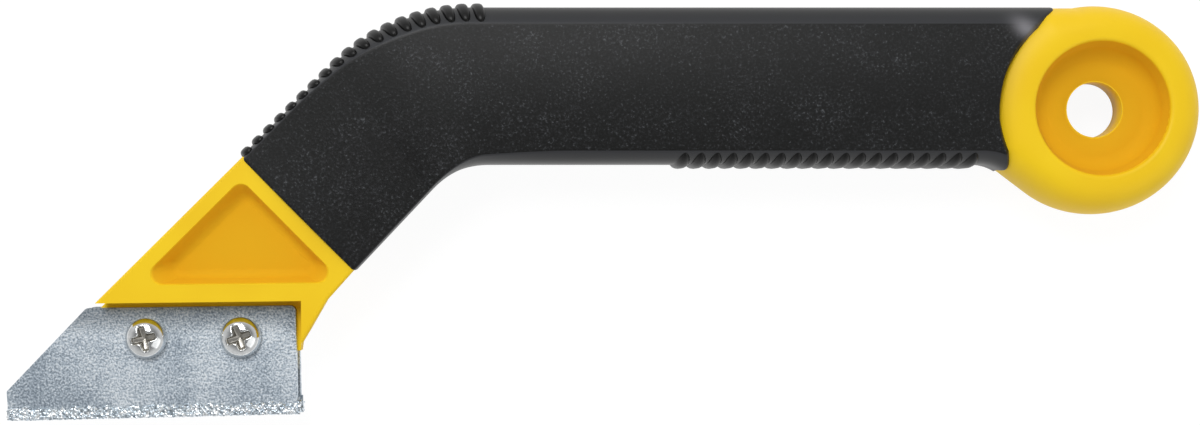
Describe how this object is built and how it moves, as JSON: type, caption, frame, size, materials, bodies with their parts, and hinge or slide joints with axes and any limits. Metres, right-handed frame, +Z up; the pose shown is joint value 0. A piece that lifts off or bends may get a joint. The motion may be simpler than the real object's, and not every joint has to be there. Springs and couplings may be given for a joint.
{
  "type": "grout scraper",
  "caption": "Hand scraper for old grout in tile joints: grit-edged steel blades screwed to a bent handle with a rubber grip and a hanging ring.",
  "frame": {"origin": "middle of the tool's outline, on the surface it lies on", "axes": "+X along the handle towards the hanging ring, +Y away from the blades' working edge, +Z up from the surface the tool lies on, towards the screw heads"},
  "size_m": [0.2308, 0.081, 0.02],
  "materials": {
    "holder_plastic": "satin",
    "grip_rubber": "matt, spark textured",
    "blade_steel": "zinc coated, satin",
    "carbide_grit": "rough brazed grit",
    "screw_steel": "bright zinc plate"
  },
  "bodies": {
    "tool": {"handle_body": "holder_plastic", "rubber_grip": "grip_rubber", "front_blade": "blade_steel", "front_grit": "carbide_grit", "rear_blade": "blade_steel", "rear_grit": "carbide_grit"},
    "toe_screw": {"toe_screw": "screw_steel"},
    "heel_screw": {"heel_screw": "screw_steel"},
    "toe_nut": {"toe_nut": "screw_steel"},
    "heel_nut": {"heel_nut": "screw_steel"}
  },
  "joints": [
    {"name": "toe_screw_turn", "type": "hinge", "parent": "tool", "child": "toe_screw", "pos_m": [-0.08806, -0.02427, 0.01245], "axis": [0, 0, 1], "range_deg": [0, 2620]},
    {"name": "heel_screw_turn", "type": "hinge", "parent": "tool", "child": "heel_screw", "pos_m": [-0.06976, -0.02405, 0.01245], "axis": [0, 0, 1], "range_deg": [0, 2620]},
    {"name": "toe_nut_turn", "type": "hinge", "parent": "tool", "child": "toe_nut", "pos_m": [-0.08806, -0.02427, 0.00755], "axis": [0, 0, -1], "range_deg": [0, 2620]},
    {"name": "heel_nut_turn", "type": "hinge", "parent": "tool", "child": "heel_nut", "pos_m": [-0.06976, -0.02405, 0.00755], "axis": [0, 0, -1], "range_deg": [0, 2620]}
  ]
}
